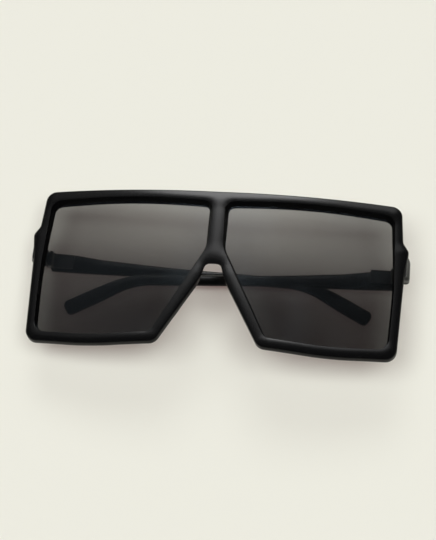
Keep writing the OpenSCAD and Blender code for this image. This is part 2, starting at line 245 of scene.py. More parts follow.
def arc_at(before, corner, after, radius):
    """Points of the arc that rounds one corner."""
    u = (before - corner) / np.linalg.norm(before - corner)
    v = (after - corner) / np.linalg.norm(after - corner)
    half = math.acos(np.clip(u @ v, -1, 1)) / 2
    room = MOST_OF_EDGE_SHARE * min(np.linalg.norm(before - corner), np.linalg.norm(after - corner))
    reach = min(radius / math.tan(half), room)
    bisector = (u + v) / np.linalg.norm(u + v)
    centre = corner + bisector * reach / math.cos(half)
    first = corner + u * reach - centre
    turn = (math.pi - 2 * half) * math.copysign(1, cross(-u, v))
    angles = np.linspace(0, turn, ARC_STEPS + 1)
    spun_x = first[0] * np.cos(angles) - first[1] * np.sin(angles)
    spun_y = first[0] * np.sin(angles) + first[1] * np.cos(angles)
    return centre + np.stack((spun_x, spun_y), axis=1)


def arcs_of(points, radii):
    """The arcs of a closed outline, one for each corner."""
    count = len(points)
    return [arc_at(points[i - 1], points[i], points[(i + 1) % count], radii[i]) for i in range(count)]


outline_arcs = arcs_of(outline, outline_r)
opening_arcs = arcs_of(opening, opening_r)
print("Arcs of the outline and of one opening:", len(outline_arcs), len(opening_arcs))


# %% Equal steps and side directions
def spaced(path, count):
    """The path as count equal steps, without its last point."""
    lengths = np.concatenate(([0], np.cumsum(np.linalg.norm(np.diff(path, axis=0), axis=1))))
    at = np.linspace(0, lengths[-1], count + 1)[:-1]
    return np.stack([np.interp(at, lengths, path[:, axis]) for axis in (0, 1)], axis=1)


def stretch(arcs, first, last, count):
    """Equal steps from the middle of one corner's arc to the middle of another's."""
    half = ARC_STEPS // 2
    between = [arcs[corner] for corner in range(first + 1, last)]
    parts = [arcs[first][half:], *between, arcs[last % len(arcs)][:half + 1]]
    return spaced(np.concatenate(parts), count)


def side_normals(loop):
    """Directions that point to the right of a loop, away from what an anticlockwise one encloses."""
    run = np.roll(loop, -1, axis=0) - np.roll(loop, 1, axis=0)
    run = run / np.linalg.norm(run, axis=1, keepdims=True)
    return np.stack((run[:, 1], -run[:, 0]), axis=1)


# %% Matching loops
arch_top = np.array((0, half_outline[ARCH][1]))
brow_top = outline_arcs[BROW][ARC_STEPS // 2]
nose_half_arc = outline_arcs[NOSE][:ARC_STEPS // 2 + 1]
arch_path = np.concatenate(([arch_top], outline_arcs[ARCH], outline_arcs[ARCH_LOW], nose_half_arc))

STEPS = {"nose": 76, "lower_in": 38, "lower_out": 38, "side": 112, "brow": 92, "bridge": 40}
outer_loop = np.concatenate((
    spaced(arch_path, STEPS["nose"]),
    stretch(outline_arcs, NOSE, LOWER_MID, STEPS["lower_in"]),
    stretch(outline_arcs, LOWER_MID, LOWER_OUTER, STEPS["lower_out"]),
    stretch(outline_arcs, LOWER_OUTER, BROW_OUTER, STEPS["side"]),
    stretch(outline_arcs, BROW_OUTER, BROW, STEPS["brow"]),
    spaced(np.array((brow_top, arch_top)), STEPS["bridge"]),
))
OPENING_STOPS = [0, 1, 2, 3, 5, 7, 8]
inner_loop = np.concatenate([
    stretch(opening_arcs, first, last, count)
    for first, last, count in zip(OPENING_STOPS, OPENING_STOPS[1:], STEPS.values())
])
free_steps = len(outer_loop) - STEPS["bridge"]
full_outline = np.concatenate((outer_loop[:free_steps + 1], (outer_loop[1:free_steps] * mirror)[::-1]))
outer_normals = side_normals(full_outline)[:free_steps + 1]
inner_normals = side_normals(inner_loop)
print("Steps around one lens:", len(inner_loop))

# %% [markdown]
# ## The front
#
# The front could be cut from a block with booleans and bevelled afterwards, but its long soft
# highlights come out cleaner when the surface is woven from rows of quads. Each row runs from the
# outside edge over the face, down the wall of the opening, round the groove that grips the
# lens, and back along the rear face. The row is then bent to the bow of the front.

# %% Bow and rounded edges
outer_round = 0.6
outer_back_round = 1.1
back_round = 0.6
lip_w = 0.9
brow_lip_w = 1.35
lip_round = 0.25
crown = 0.55
crown_reach = 2.3
saddle = 2.4
saddle_share = 0.3
ROUND_STEPS = 6
FACE_STEPS = 8


def bent(points, depth):
    """Places points of the outline at a depth behind the bowed face."""
    x = points[..., 0]
    z = np.sqrt((wrap_r - depth) ** 2 - x ** 2) - wrap_r
    return np.stack((x, points[..., 1], z), axis=-1)


def edge_round(radius, lean=0):
    """Insets and drops round an edge, from a wall that leans by that angle to the face."""
    angles = np.linspace(lean, math.pi / 2, ROUND_STEPS + 1)
    return radius * (1 - np.cos(angles)), radius * (1 - np.sin(angles))


print("Bow at the hinge pins, mm:", round(float(-bent(np.array((pin_x, 0)), 0)[2]), 1))


# %% Rows across the face
def edge_pull(points):
    """How strongly the three edges near each point pull the face down."""
    flat = points.reshape(-1, 1, 2)
    pull = sum(
        np.exp(-np.min(np.linalg.norm(flat - edge, axis=-1), axis=1) / crown_reach)
        for edge in (full_outline, inner_loop, inner_loop * mirror)
    )
    return pull.reshape(points.shape[:-1])


def face_rows(outer_inset, inner_inset):
    """Points across the face, from the outside edge to the opening, for every step."""
    outer_edge = outer_loop.copy()
    outer_edge[:free_steps + 1] -= outer_normals * np.reshape(outer_inset, (-1, 1))
    low, high = outer_edge[0], outer_edge[free_steps]
    down = np.linspace(0, 1, STEPS["bridge"] + 1)[:, None]
    outer_edge[free_steps:] = (high + (low - high) * down)[:-1]
    inner_edge = inner_loop + inner_normals * np.reshape(inner_inset, (-1, 1))
    share = np.linspace(0, 1, FACE_STEPS + 1)[:, None, None]
    return outer_edge + (inner_edge - outer_edge) * share


def eased(share):
    """A share from 0 to 1 that starts and ends gently."""
    share = np.clip(share, 0, 1)
    return share * share * (3 - 2 * share)


# %% Face and back
rise = (inner_loop[:, 1] - kink[1]) / (top_inner[1] - kink[1])
lip = lip_w + (brow_lip_w - lip_w) * eased(rise)
face = face_rows(outer_round, lip)
pull = edge_pull(face)
face_drop = crown * (pull - pull.min())
face_rows_3d = bent(face, face_drop)
down_the_nose = np.arange(free_steps + 1) / STEPS["nose"]
saddle_in = saddle * (1 - eased(down_the_nose / saddle_share))
back = face_rows(outer_back_round + saddle_in, back_round)
back_rows_3d = bent(back, np.full(back.shape[:-1], rim_t))
print("Points across one half's face:", face.shape[:2])
print("Deepest crown, mm:", round(float(face_drop.max()), 2))


# %% Outside wall
def wall(loop, normals, insets, depths):
    """Rows of points along a wall, each at an inset from the loop and a depth behind the face."""
    return np.array([
        bent(loop + normals * np.reshape(inset, (-1, 1)), np.broadcast_to(depth, len(loop)))
        for inset, depth in zip(insets, depths)
    ])


outer_in, outer_drop = edge_round(outer_round)
under_in, under_drop = edge_round(outer_back_round)
outer_insets = list(under_in[::-1]) + list(outer_in)
outer_depths = list(rim_t - under_drop[::-1])
outer_depths += [drop + face_drop[0, :free_steps + 1] for drop in outer_drop]
outer_insets = [inset + saddle_in * depth / rim_t for inset, depth in zip(outer_insets, outer_depths)]
outer_wall = wall(outer_loop[:free_steps + 1], -outer_normals, outer_insets, outer_depths)
outer_wall[0] = back_rows_3d[0, :free_steps + 1]
outer_wall[-1] = face_rows_3d[0, :free_steps + 1]
print("Rows up the outside wall:", len(outer_wall))

# %% Wall of the opening, with its groove
seat_front = lens_drop - lens_gap
seat_back = lens_drop + lens_t + lens_gap
groove = groove_d + lens_gap
back_in, back_drop = edge_round(back_round)
lip_in, lip_drop = edge_round(lip_round, math.atan2(lip_w - lip_round, seat_front - lip_round))
inner_insets = [lip - lip_round + inset for inset in lip_in[::-1]]
inner_insets += [0, groove, groove, 0] + list(back_in)
inner_depths = [drop + face_drop[-1] for drop in lip_drop[::-1]]
inner_depths += [seat_front, seat_front, seat_back, seat_back] + list(rim_t - back_drop)
inner_wall = wall(inner_loop, inner_normals, inner_insets, inner_depths)
inner_wall[0] = face_rows_3d[-1]
inner_wall[-1] = back_rows_3d[-1]
print("Rows down the opening's wall:", len(inner_wall))

# %% [markdown]
# A grid of points becomes quads by joining each point to its neighbours. Grids that share an edge
# are drawn apart and merged where their points coincide, which also closes the two mirrored halves
# along the middle. Only angles sharper than a set limit keep a hard edge.

# %% Grids of quads, and objects made of them
HARD_ANGLE_DEG = 38
MERGE_MM = 0.002


def add_grid(mesh, rows, closed):
    """Adds a grid of points as quads. A closed grid joins its last column to its first."""
    count = rows.shape[1]
    points = [[mesh.verts.new(p) for p in row] for row in rows]
    for low, high in zip(points, points[1:]):
        for i in range(count if closed else count - 1):
            j = (i + 1) % count
            mesh.faces.new((low[i], low[j], high[j], high[i]))
    return points


def shade(data):
    """Smooth faces, with a hard edge where two of them meet at more than the set angle."""
    data.shade_smooth()
    data.set_sharp_from_angle(angle=math.radians(HARD_ANGLE_DEG))


def finished(name, mesh, matrix):
    """Merges points, turns the faces outwards, carries the mesh to its place and makes the object."""
    bmesh.ops.remove_doubles(mesh, verts=mesh.verts, dist=MERGE_MM)
    bmesh.ops.recalc_face_normals(mesh, faces=mesh.faces)
    data = bpy.data.meshes.new(name)
    mesh.to_mesh(data)
    mesh.free()
    data.transform(matrix)
    if matrix.determinant() < 0:
        data.flip_normals()
    shade(data)
    return into_scene(name, data)


# %% Uniting, cutting and checking
def combine(thing, tool, operation):
    """Unites a tool with an object or cuts it away, and deletes the tool."""
    change = thing.modifiers.new(operation, "BOOLEAN")
    change.operation = operation
    change.solver = "MANIFOLD"
    change.object = tool
    seen = thing.evaluated_get(bpy.context.evaluated_depsgraph_get())
    data = bpy.data.meshes.new_from_object(seen)
    thing.modifiers.clear()
    thing.data = data
    bpy.data.objects.remove(tool)
    shade(data)


def open_edges(thing):
    """Number of edges that don't have two faces, which is zero on a closed mesh."""
    mesh = bmesh.new()
    mesh.from_mesh(thing.data)
    count = sum(not edge.is_manifold for edge in mesh.edges)
    mesh.free()
    return count


# %% The front's mesh
front_mesh = bmesh.new()
for side in ((1, 1, 1), (-1, 1, 1)):
    add_grid(front_mesh, face_rows_3d * side, closed=True)
    add_grid(front_mesh, back_rows_3d * side, closed=True)
    add_grid(front_mesh, inner_wall * side, closed=True)
    add_grid(front_mesh, outer_wall * side, closed=False)
moulded_front = finished("moulded_front", front_mesh, FRONT)
print("Front:", len(moulded_front.data.polygons), "faces,", open_edges(moulded_front), "open edges")

# %% [markdown]
# ## End pieces
#
# At each side the front runs back to meet its temple. That end piece is a loft: the same rounded
# rectangle, drawn at several depths with its own width and height, and skinned over. A cylinder
# cuts out the room for the hinge barrels. The pieces are one moulding, so it is united with the front.

# %% Lofts of rounded rectangles
CORNER_STEPS = 5


def rounded_rectangle(low, high, radius):
    """Points round a rectangle with round corners, anticlockwise."""
    corners = [
        (high[0], high[1], 0), (low[0], high[1], 90), (low[0], low[1], 180), (high[0], low[1], 270),
    ]
    points = []
    for x, y, start in corners:
        centre_x = x - math.copysign(radius, x - (low[0] + high[0]) / 2)
        centre_y = y - math.copysign(radius, y - (low[1] + high[1]) / 2)
        for angle in np.radians(np.linspace(start, start + 90, CORNER_STEPS + 1)):
            points.append((centre_x + radius * math.cos(angle), centre_y + radius * math.sin(angle)))
    return np.array(points)


def loft(mesh, rows):
    """Skins a stack of closed rows and caps both ends."""
    points = add_grid(mesh, np.array(rows), closed=True)
    mesh.faces.new(points[0])
    mesh.faces.new(points[-1])


# %% Sizes of the end pieces
butt_t = 5.1
butt_h = 6.8
end_flare = 0.8
end_start = 10.8
end_full = 17.3
end_start_in = 0.7
end_root_x = float(opening[4][0]) + groove_d + lens_gap
end_low_y = 2.4
end_high_y = 13.3
end_corner_r = 1.3
end_lip = 0.8
end_x = half_w + end_flare
face_x = end_x - butt_t
END_STATIONS = 16
END_LIP_TURNS_DEG = (30, 60, 90)
barrel_r = 1.6
swing_gap = 0.15
room_l = 7.6
ROOM_SEGMENTS = 64
print("End piece, mm deep:", round(hinge_depth - end_start, 1))


# %% Section of an end piece, and room for the barrels
def end_row(depth, inset):
    """The end piece's section at one depth, drawn in by an inset."""
    grown = eased((depth - end_start) / (end_full - end_start))
    run = eased((depth - end_start) / (hinge_depth - end_start))
    low_x = end_root_x + (face_x - end_root_x) * grown
    low_y = end_low_y + (hinge_y - butt_h / 2 - end_low_y) * run
    high_x = half_w - end_start_in + (end_x - half_w + end_start_in) * grown
    high_y = end_high_y + (hinge_y + butt_h / 2 - end_high_y) * run
    low, high = np.add((low_x, low_y), inset), np.subtract((high_x, high_y), inset)
    flat = rounded_rectangle(low, high, end_corner_r)
    return np.column_stack((flat, np.full(len(flat), -depth)))


def barrel_room(name, matrix):
    """A cylinder along the hinge pin, with room for the barrels to turn."""
    mesh = bmesh.new()
    spin = Matrix.Rotation(math.pi / 2, 4, "X")
    bmesh.ops.create_cone(
        mesh, cap_ends=True, segments=ROOM_SEGMENTS, radius1=barrel_r + swing_gap,
        radius2=barrel_r + swing_gap, depth=room_l, matrix=spin,
    )
    return finished(name, mesh, matrix)


# %% Both end pieces
end_depths = np.linspace(end_start, hinge_depth - end_lip, END_STATIONS)
for side in (1, -1):
    mesh = bmesh.new()
    rows = [end_row(depth, 0) for depth in end_depths]
    for turn in np.radians(END_LIP_TURNS_DEG):
        lip_depth = hinge_depth - end_lip * (1 - math.sin(turn))
        rows.append(end_row(lip_depth, end_lip * (1 - math.cos(turn))))
    loft(mesh, [row * (side, 1, 1) for row in rows])
    end_piece = finished("end_piece", mesh, FRONT)
    room = barrel_room("room", FRONT @ Matrix.Translation((side * pin_x, hinge_y, -hinge_depth)))
    combine(end_piece, room, "DIFFERENCE")
    combine(moulded_front, end_piece, "UNION")
print("With end pieces:", open_edges(moulded_front), "open edges")

# %% [markdown]
# ## Nose pads
#
# The pads are moulded in one piece with the rims, so they have no screws or wires. Each is a
# flattened egg sunk into the back of the slanted rim: the half behind the rim is tall, and the
# other half is low enough to stay hidden in it. The eggs are a little slimmer than the packed
# model's own pads.

# %% Nose pads
pad_l = 17
pad_w = 3.6
pad_h = 3.2
pad_along_share = 0.52
pad_across_share = 0.64
pad_root = 0.35
pad_sunk = 0.3
PAD_RINGS = 20
PAD_SEGMENTS = 40

nose_start = half_outline[ARCH_LOW]
nose_run = half_outline[NOSE] - nose_start
nose_way = nose_run / np.linalg.norm(nose_run)
nose_side = np.array((-nose_way[1], nose_way[0]))
pad_middle = nose_start + nose_run * pad_along_share + nose_side * pad_w * pad_across_share
pad_depth = float(wrap_r - math.sqrt(wrap_r ** 2 - pad_middle[0] ** 2)) + rim_t - pad_sunk


def nose_pad(side):
    """A flattened egg along the slanted rim, taller behind the rim than inside it."""
    mesh = bmesh.new()
    bmesh.ops.create_uvsphere(mesh, u_segments=PAD_SEGMENTS, v_segments=PAD_RINGS, radius=1)
    for vert in mesh.verts:
        along, around, height = vert.co.z, vert.co.x, vert.co.y
        deep = pad_h + pad_sunk if height < 0 else pad_root
        flat = pad_middle + nose_way * along * pad_l / 2 + nose_side * around * pad_w / 2
        vert.co = (side * flat[0], flat[1], height * deep - pad_depth)
    return finished("nose_pad", mesh, FRONT)


for side in (1, -1):
    combine(moulded_front, nose_pad(side), "UNION")
print("With nose pads:", open_edges(moulded_front), "open edges")

# %% [markdown]
# ## Temples
#
# A temple is one rounded bar whose section changes on the way: tall and thick where it meets the
# hinge, slim past the cheek, then bent down behind the ear and a little taller again at its tip. A
# rounded rectangle is swept along the middle line, and its last sections shrink to round the tip.

# %% Sizes of the temples
temple_l = 134
slim_h = 4
tip_h = 6
slim_t = 3.4
straight_l = 97
ear_drop = math.radians(27)
bend_r = 34
temple_slope = 2.4
pass_angle = 1.3
pass_shift = 0.5
taper_l = 20
neck_share = 0.42
paddle_start_share = 0.72
paddle_end_share = 0.93
tip_r = 1.9
temple_edge_r = 1.15
butt_lip = 0.3
TEMPLE_STATIONS = 170
TIP_STATIONS = 8
LEAST_SIDE_OVER_RADIUS = 2.01
arm_out = float(right_pin.z - cad_low.z) / MM
bend_l = bend_r * ear_drop
print("Temple, mm:", temple_l, "from pin to tip, bent by", round(math.degrees(ear_drop)), "degrees")


# %% Middle line and sections
def middle_line(s):
    """Place and bearing of the temple's middle line at a distance from its hinge pin."""
    if s < straight_l:
        return np.array((s, 0)), 0
    bend = min((s - straight_l) / bend_l, 1) * ear_drop
    place = np.array((straight_l + bend_r * math.sin(bend), bend_r * (math.cos(bend) - 1)))
    rest = max(s - straight_l - bend_l, 0)
    return place + rest * np.array((math.cos(bend), -math.sin(bend))), -bend


def temple_row(s, inset):
    """The temple's section at a distance from its pin, drawn in by an inset in height and thickness."""
    place, bearing = middle_line(s)
    paddle = (s / temple_l - paddle_start_share) / (paddle_end_share - paddle_start_share)
    neck = s / (neck_share * temple_l)
    height = butt_h + (slim_h - butt_h) * eased(neck) + (tip_h - slim_h) * eased(paddle)
    thick = butt_t + (slim_t - butt_t) * np.clip(2 * s / taper_l - 1, 0, 1)
    low = np.array((-height / 2, -arm_out)) + inset
    high = np.array((height / 2, thick - arm_out)) - inset
    radius = min(temple_edge_r, *((high - low) / LEAST_SIDE_OVER_RADIUS))
    side = np.array((-math.sin(bearing), math.cos(bearing)))
    return [(*(place + side * up), out) for up, out in rounded_rectangle(low, high, radius)]


# %% Both temples
def temple(name, matrix, pass_way):
    """Sweeps the sections, then turns and shifts the temple so that the two pass each other."""
    tip_start = temple_l - tip_r
    stations = [(swing_gap, np.array((butt_lip, butt_lip)))]
    stations += [(s, 0) for s in np.linspace(swing_gap + butt_lip, tip_start, TEMPLE_STATIONS)]
    for angle in np.linspace(0, math.pi / 2, TIP_STATIONS + 1)[1:]:
        past = tip_r * math.sin(angle)
        tip_in = tip_r * (1 - math.cos(angle))
        flat_in = (temple_edge_r / tip_r) * tip_in
        stations.append((tip_start + past, np.array((tip_in, flat_in))))
    mesh = bmesh.new()
    loft(mesh, [temple_row(s, inset) for s, inset in stations])
    turn = Matrix.Rotation(math.radians(pass_way * pass_angle - temple_slope), 4, "Z")
    bar = finished(name, mesh, matrix @ Matrix.Translation((0, pass_way * pass_shift, 0)) @ turn)
    combine(bar, barrel_room("room", matrix), "DIFFERENCE")
    return bar


right_temple_bar = temple("right_moulded_temple", RIGHT_ARM, 1)
left_temple_bar = temple("left_moulded_temple", LEFT_ARM, -1)
for bar in (right_temple_bar, left_temple_bar):
    print(bar.name, len(bar.data.polygons), "faces,", open_edges(bar), "open edges")

# %% [markdown]
# ## Lenses
#
# Each lens is a slice of a wide cylinder, as thick as a coin, with its edge in the groove. Rings
# that shrink towards the lens's middle cover it with small even faces, so its reflections stay as
# smooth as on the real one. Stretching a few long faces over it would show as kinks of light.

# %% Lenses
LENS_RINGS = 30


def lens(name, side):
    """A bowed lens with its edge in the groove."""
    edge = inner_loop + inner_normals * groove_d
    middle = edge.mean(axis=0)
    shares = np.linspace(1, 0, LENS_RINGS + 1)[:, None, None]
    rings = middle + (edge - middle) * shares
    mesh = bmesh.new()
    front_rows = bent(rings, np.full(rings.shape[:-1], lens_drop)) * (side, 1, 1)
    back_rows = bent(rings, np.full(rings.shape[:-1], lens_drop + lens_t)) * (side, 1, 1)
    add_grid(mesh, front_rows, closed=True)
    add_grid(mesh, back_rows, closed=True)
    add_grid(mesh, np.array((front_rows[0], back_rows[0])), closed=True)
    return finished(name, mesh, FRONT)


left_tinted_lens = lens("left_tinted_lens", 1)
right_tinted_lens = lens("right_tinted_lens", -1)
for piece in (left_tinted_lens, right_tinted_lens):
    print(piece.name, len(piece.data.polygons), "faces,", open_edges(piece), "open edges")

# %% [markdown]
# ## Marks that every finish shares
#
# New sunglasses still carry faint marks: soft smears from fingers, hairlines from the cloth and
# a few grains of dust. They show on the plastic, the lenses and the metal alike, so each is a node
# group, built once and placed in every material with its own amounts.

# %% Node helpers
def new_group(name, inputs, outputs):
    """A shader node group with number inputs, given as names and values, and number outputs."""
    group = bpy.data.node_groups.new(name, "ShaderNodeTree")
    for label, value in inputs.items():
        group.interface.new_socket(label, in_out="INPUT", socket_type="NodeSocketFloat").default_value = value
    for label in outputs:
        group.interface.new_socket(label, in_out="OUTPUT", socket_type="NodeSocketFloat")
    start = group.nodes.new("NodeGroupInput")
    end = group.nodes.new("NodeGroupOutput")
    return group, start.outputs, end.inputs


def feed(tree, socket, value):
    """Links a socket to another one, or sets it to a plain number."""
    if isinstance(value, bpy.types.NodeSocket):
        tree.links.new(value, socket)
    else:
        socket.default_value = value


def maths(tree, operation, first, second):
    """A Math node fed by sockets or plain numbers."""
    node = tree.nodes.new("ShaderNodeMath")
    node.operation = operation
    for socket, value in zip(node.inputs, (first, second)):
        feed(tree, socket, value)
    return node.outputs[0]


def ramped(tree, value, low, high, start=0, end=1):
    """Maps value from low..high to start..end, smoothly and clamped."""
    node = tree.nodes.new("ShaderNodeMapRange")
    node.interpolation_type = "SMOOTHSTEP"
    tree.links.new(value, node.inputs["Value"])
    limits = {"From Min": low, "From Max": high, "To Min": start, "To Max": end}
    for label, number in limits.items():
        node.inputs[label].default_value = number
    return node.outputs["Result"]


# %% Places on a piece, and noise
def object_place(tree, stretch_by=(1, 1, 1)):
    """Coordinates on the piece itself, so that marks travel with it when it moves."""
    coordinates = tree.nodes.new("ShaderNodeTexCoord")
    mapping = tree.nodes.new("ShaderNodeMapping")
    mapping.inputs["Scale"].default_value = stretch_by
    tree.links.new(coordinates.outputs["Object"], mapping.inputs["Vector"])
    return mapping.outputs["Vector"]


def noise(tree, vector, scale, detail=2):
    """Soft noise at a scale given as a socket or a number."""
    node = tree.nodes.new("ShaderNodeTexNoise")
    tree.links.new(vector, node.inputs["Vector"])
    node.inputs["Detail"].default_value = detail
    feed(tree, node.inputs["Scale"], scale)
    return node.outputs["Fac"]


# %% Finger smears
SMEAR_DETAIL = 4
SMEAR_BAND = (0.35, 0.7)

smears, given, made = new_group("finger_smears", {"Scale": 60, "Amount": 0.05}, ["Roughness Shift"])
cloudy = noise(smears, object_place(smears), given["Scale"], SMEAR_DETAIL)
patches = ramped(smears, cloudy, *SMEAR_BAND, -1, 1)
smears.links.new(maths(smears, "MULTIPLY", patches, given["Amount"]), made["Roughness Shift"])
print(smears.name, len(smears.nodes), "nodes")

# %% Hairlines from the cloth
ALONG_X = (0.04, 1, 1)
ALONG_Y = (1, 0.05, 1)
LINES_ALONG_X = (0.68, 0.74)
LINES_ALONG_Y = (0.7, 0.76)

hairlines, given, made = new_group("cloth_hairlines", {"Scale": 3500, "Amount": 0.3}, ["Height"])
one_way = noise(hairlines, object_place(hairlines, ALONG_X), given["Scale"])
other_way = noise(hairlines, object_place(hairlines, ALONG_Y), given["Scale"])
one_lines = ramped(hairlines, one_way, *LINES_ALONG_X)
other_lines = ramped(hairlines, other_way, *LINES_ALONG_Y)
lines = maths(hairlines, "MAXIMUM", one_lines, other_lines)
hairlines.links.new(maths(hairlines, "MULTIPLY", lines, given["Amount"]), made["Height"])
print(hairlines.name, len(hairlines.nodes), "nodes")

# %% Grains of dust
GRAIN_BAND = (0.02, 0.05)
SETTLED_SCALE = 140
SETTLED_BAND = (0.55, 0.68)

dust, given, made = new_group("dust_grains", {"Scale": 350, "Amount": 0.5}, ["Mask"])
cells = dust.nodes.new("ShaderNodeTexVoronoi")
dust.links.new(object_place(dust), cells.inputs["Vector"])
dust.links.new(given["Scale"], cells.inputs["Scale"])
grains = ramped(dust, cells.outputs["Distance"], *GRAIN_BAND, 1, 0)
settled = ramped(dust, noise(dust, object_place(dust), SETTLED_SCALE), *SETTLED_BAND)
dust_mask = maths(dust, "MULTIPLY", maths(dust, "MULTIPLY", grains, settled), given["Amount"])
dust.links.new(dust_mask, made["Mask"])
print(dust.name, len(dust.nodes), "nodes")

# %% Worn edges
RIDGE_BAND = (0.53, 0.6)

edges, given, made = new_group("worn_edges", {"Amount": 0.5}, ["Mask"])
shape = edges.nodes.new("ShaderNodeNewGeometry")
ridge = ramped(edges, shape.outputs["Pointiness"], *RIDGE_BAND)
edges.links.new(maths(edges, "MULTIPLY", ridge, given["Amount"]), made["Mask"])
print(edges.name, len(edges.nodes), "nodes")

# %% [markdown]
# The faces of the plastic are buffed on a wheel, while its narrow sides are only tumbled. One more
# group tells them apart by the way the surface faces on the piece itself: full on the front and the
# back, and nothing on the sides. A texture could do that too, but this needs no unwrapping.

# %% Buffed faces
BUFFED_BAND = (0.6, 0.88)

polish, given, made = new_group("polished_faces", {"Amount": 1}, ["Coat"])
facing = polish.nodes.new("ShaderNodeSeparateXYZ")
polish.links.new(polish.nodes.new("ShaderNodeTexCoord").outputs["Normal"], facing.inputs["Vector"])
flat_on = maths(polish, "ABSOLUTE", facing.outputs["Z"], 0)
buffed = ramped(polish, flat_on, *BUFFED_BAND)
polish.links.new(maths(polish, "MULTIPLY", buffed, given["Amount"]), made["Coat"])
print("Shared finishes:", [group.name for group in bpy.data.node_groups])

# %% [markdown]
# ## Finishes
#
# Each finish is one Principled shader. What is the same everywhere, such as the metal or the colour
# of a clean spot, is set on the shader itself. Only what changes over the surface comes from nodes:
# the roughness under a smear, a hairline's height, a grain of dust, an edge that is worn bare.

# %% Placing a group, and mixing two colours
def placed(tree, group, **values):
    """Places a shared group in a material with its own numbers."""
    node = tree.nodes.new("ShaderNodeGroup")
    node.node_tree = group
    for label, value in values.items():
        node.inputs[label].default_value = value
    return node.outputs[0]


def tinted(tree, mask, clean, marked):
    """A colour that goes from clean to marked where the mask says."""
    mix = tree.nodes.new("ShaderNodeMix")
    mix.data_type = "RGBA"
    tree.links.new(mask, mix.inputs["Factor"])
    mix.inputs["A"].default_value = (*clean, 1)
    mix.inputs["B"].default_value = (*marked, 1)
    return mix.outputs["Result"]


# %% A finish with the shared marks
SMEAR_SCALE = 55
HAIRLINE_SCALE = 3500
HAIRLINE_STRENGTH = 0.25
HAIRLINE_HEIGHT_M = 0.00002
DUST_SCALE = 350


def new_material(name):
    """A material with nodes, together with its tree and its Principled shader."""
    material = bpy.data.materials.new(name)
    material.use_nodes = True
    tree = material.node_tree
    return material, tree, next(node for node in tree.nodes if node.type == "BSDF_PRINCIPLED")


def finish(name, clean, marked, roughness, smear, hairline, wear, dusty):
    """A material with smears, hairlines, worn edges and dust. Returns it with its tree and shader."""
    material, tree, shader = new_material(name)
    shift = placed(tree, smears, Scale=SMEAR_SCALE, Amount=smear)
    tree.links.new(maths(tree, "ADD", shift, roughness), shader.inputs["Roughness"])
    bump = tree.nodes.new("ShaderNodeBump")
    bump.inputs["Strength"].default_value = HAIRLINE_STRENGTH
    bump.inputs["Distance"].default_value = HAIRLINE_HEIGHT_M
    scratched = placed(tree, hairlines, Scale=HAIRLINE_SCALE, Amount=hairline)
    tree.links.new(scratched, bump.inputs["Height"])
    tree.links.new(bump.outputs["Normal"], shader.inputs["Normal"])
    worn = placed(tree, edges, Amount=wear)
    marks = maths(tree, "MAXIMUM", worn, placed(tree, dust, Scale=DUST_SCALE, Amount=dusty))
    tree.links.new(tinted(tree, marks, clean, marked), shader.inputs["Base Color"])
    return material, tree, shader


# %% [markdown]
# The front and the temples are the same black plastic. Their faces are buffed to a gloss, which a
# coat stands for, and their narrow sides are only tumbled, so they stay dark. The temples get more
# handling, so their smears are stronger. Black plastic has hardly any colour of its own: what makes
# it look like plastic is the soft grey of the room in it.

# %% Plastics
BLACK_PLASTIC = (0.002, 0.002, 0.0022)
RUBBED_PLASTIC = (0.03, 0.029, 0.028)

front_plastic, front_tree, front_shader = finish(
    "gloss_black_front", BLACK_PLASTIC, RUBBED_PLASTIC,
    roughness=0.22, smear=0.05, hairline=0.5, wear=0.15, dusty=0.35,
)
temple_plastic, temple_tree, temple_shader = finish(
    "gloss_black_temple", BLACK_PLASTIC, RUBBED_PLASTIC,
    roughness=0.25, smear=0.08, hairline=0.7, wear=0.2, dusty=0.35,
)
for tree, shader in ((front_tree, front_shader), (temple_tree, temple_shader)):
    tree.links.new(placed(tree, polish, Amount=1), shader.inputs["Coat Weight"])
    shader.inputs["Coat IOR"].default_value = 1.72
    shader.inputs["Coat Roughness"].default_value = 0.21
    shader.inputs["Specular IOR Level"].default_value = 0.025
print("Plastics:", front_plastic.name, temple_plastic.name)

# %% [markdown]
# A tinted lens soaks up most of the light and lets the rest straight through. Real glass in the
# renderer bends light and needs very many samples for its shadow, while these thin lenses hardly
# bend anything. So the tint is the shader's alpha: each of the two surfaces lets a share through,
# and light on its way to the table is dimmed in the same way. The tint deepens from the brow to
# the cheek. Towards the temples the alpha also carries painted shade, which darkens the upper
# outer corners, and painted light, which brightens the lower outer corners. The hard coating of
# such a lens reflects a little more than plain plastic, and cooler.

# %% Lens tint
tint_alpha_brow = 0.36
tint_alpha_cheek = 0.77
# Extra alpha towards the temples: painted shade in the upper outer corners, painted light in the lower outer
# corners
painted_shade_top_corners = 0.11
painted_light_low_corners = -0.1
lens_finish, lens_tree, lens_shader = finish(
    "grey_tinted_lens", (0.0022, 0.002, 0.0018), (0.2, 0.19, 0.18),
    roughness=0.19, smear=0.03, hairline=0.4, wear=0, dusty=0.3,
)
place = lens_tree.nodes.new("ShaderNodeSeparateXYZ")
lens_tree.links.new(object_place(lens_tree), place.inputs["Vector"])
brow_y = float((FRONT @ Vector((0, top_inner[1], 0))).y)
cheek_y = float((FRONT @ Vector((0, low_outer[1], 0))).y)
tint = ramped(lens_tree, place.outputs["Y"], cheek_y, brow_y, tint_alpha_cheek, tint_alpha_brow)
